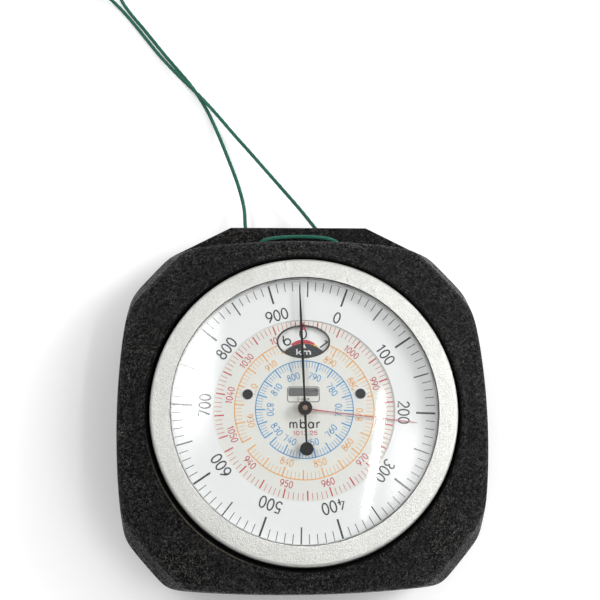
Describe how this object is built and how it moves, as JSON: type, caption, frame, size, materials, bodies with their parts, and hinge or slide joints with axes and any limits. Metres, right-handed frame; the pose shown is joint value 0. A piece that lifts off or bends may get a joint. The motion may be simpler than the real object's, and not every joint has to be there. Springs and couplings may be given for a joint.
{
  "type": "altimeter",
  "caption": "Pocket survey altimeter with a rounded square case, turning bezel with an altitude scale, pressure dial, kilometre disc, two hands, aneroid movement and neck cord.",
  "frame": {"origin": "centre of the flat back, on the axis of the hands", "axes": "+Z from the back towards the crystal, +Y towards 12 o'clock and the cord tab, +X to the right as the dial is read"},
  "size_m": [0.1475, 0.2427, 0.041],
  "materials": {
    "crinkle_black": "black crinkle enamel",
    "gasket_black": "matt",
    "screw_black": "blackened",
    "bezel_satin": "satin plated",
    "spring_steel": "bright",
    "crystal_clear": "clear domed",
    "spacer_grey": "matt anodised",
    "scale_white": "white printed",
    "dial_cream": "off-white printed",
    "brass_plain": "lapped",
    "hand_black": "matt black",
    "hand_red": "red",
    "arbor_steel": "polished",
    "arbor_copper": "polished end",
    "disc_white": "white printed",
    "jewel_red": "polished",
    "steel_blued": "blued",
    "capsule_alloy": "bright corrugated",
    "bimetal": "rolled",
    "cord_green": "braided"
  },
  "bodies": {
    "case": {"front_shell": "crinkle_black", "back_shell": "crinkle_black", "case_gasket": "gasket_black", "shell_screws": "screw_black", "pressure_dial": "dial_cream", "dial_posts": "brass_plain", "dial_screws": "screw_black", "centre_tube": "brass_plain", "front_plate": "brass_plain", "back_plate": "brass_plain", "plate_pillars": "brass_plain", "plate_screws": "steel_blued", "jewel_bearings": "jewel_red", "mounting_screws": "arbor_steel", "shock_washers": "gasket_black", "hairspring": "steel_blued", "hairspring_stud": "brass_plain", "rocker_brackets": "brass_plain", "capsule_stack": "capsule_alloy", "capsule_post": "brass_plain", "cord_arc": "cord_green", "cord_left": "cord_green", "cord_coil": "cord_green", "cord_right": "cord_green"},
    "bezel_group": {"bezel": "bezel_satin", "bezel_spring": "spring_steel", "crystal": "crystal_clear", "crystal_spacer": "spacer_grey", "altitude_ring": "scale_white", "scale_retainer": "brass_plain"},
    "hand_group": {"altitude_hand": "hand_black", "hand_boss": "hand_black", "hand_arbor": "arbor_copper"},
    "marker_group": {"marker_hand": "hand_red"},
    "km_group": {"km_disc": "disc_white", "km_wheel": "brass_plain", "km_arbor": "arbor_steel"},
    "train_group": {"train_wheel": "brass_plain", "train_arbor": "arbor_steel"},
    "sector_group": {"sector_gear": "brass_plain", "sector_arbor": "arbor_steel"},
    "rocker_group": {"rocking_shaft": "arbor_steel", "bimetal_strip": "bimetal"},
    "stem_group": {"capsule_stem": "arbor_steel"},
    "zero_group": {"zero_screw": "brass_plain"}
  },
  "joints": [
    {"name": "bezel_turn", "type": "hinge", "parent": "case", "child": "bezel_group", "pos_m": [0, 0, 0.034], "axis": [0, 0, -1], "continuous": true},
    {"name": "hand_turn", "type": "hinge", "parent": "case", "child": "hand_group", "pos_m": [0, 0, 0.02], "axis": [0, 0, -1], "range_deg": [-105.7, 2162.3], "stiffness_Nm_per_rad": 0.000003},
    {"name": "marker_turn", "type": "hinge", "parent": "case", "child": "marker_group", "pos_m": [0, 0, 0.032], "axis": [0, 0, -1], "continuous": true},
    {"name": "km_turn", "type": "hinge", "parent": "case", "child": "km_group", "pos_m": [0, 0.01632, 0.02], "axis": [0, 0, -1], "range_deg": [-308.91, 15.11]},
    {"name": "train_turn", "type": "hinge", "parent": "case", "child": "train_group", "pos_m": [-0.01506, -0.00596, 0.018], "axis": [0, 0, -1], "range_deg": [-270.3, 13.22], "deforming": ["hairspring"]},
    {"name": "sector_swing", "type": "hinge", "parent": "case", "child": "sector_group", "pos_m": [0.002, -0.016, 0.02], "axis": [0, 0, -1], "range_deg": [-1.33, 27.04]},
    {"name": "rocker_swing", "type": "hinge", "parent": "case", "child": "rocker_group", "pos_m": [0.016, -0.016, 0.015], "axis": [1, 0, 0], "range_deg": [-1.33, 27.04]},
    {"name": "stem_lift", "type": "slide", "parent": "case", "child": "stem_group", "axis": [0, 0, 1], "range_m": [-0.00011, 0.00212], "deforming": ["capsule_stack"]},
    {"name": "zero_turn", "type": "hinge", "parent": "case", "child": "zero_group", "pos_m": [0.019, -0.0115, 0.002], "axis": [0, 0, -1], "range_deg": [-180, 180]}
  ],
  "couplings": [
    {"joint": "km_turn", "follows": "hand_turn", "ratio": -0.14286},
    {"joint": "train_turn", "follows": "hand_turn", "ratio": -0.125},
    {"joint": "sector_swing", "follows": "hand_turn", "ratio": 0.0125},
    {"joint": "rocker_swing", "follows": "hand_turn", "ratio": 0.0125},
    {"joint": "stem_lift", "follows": "hand_turn", "m_per_rad": 0.00005625}
  ]
}
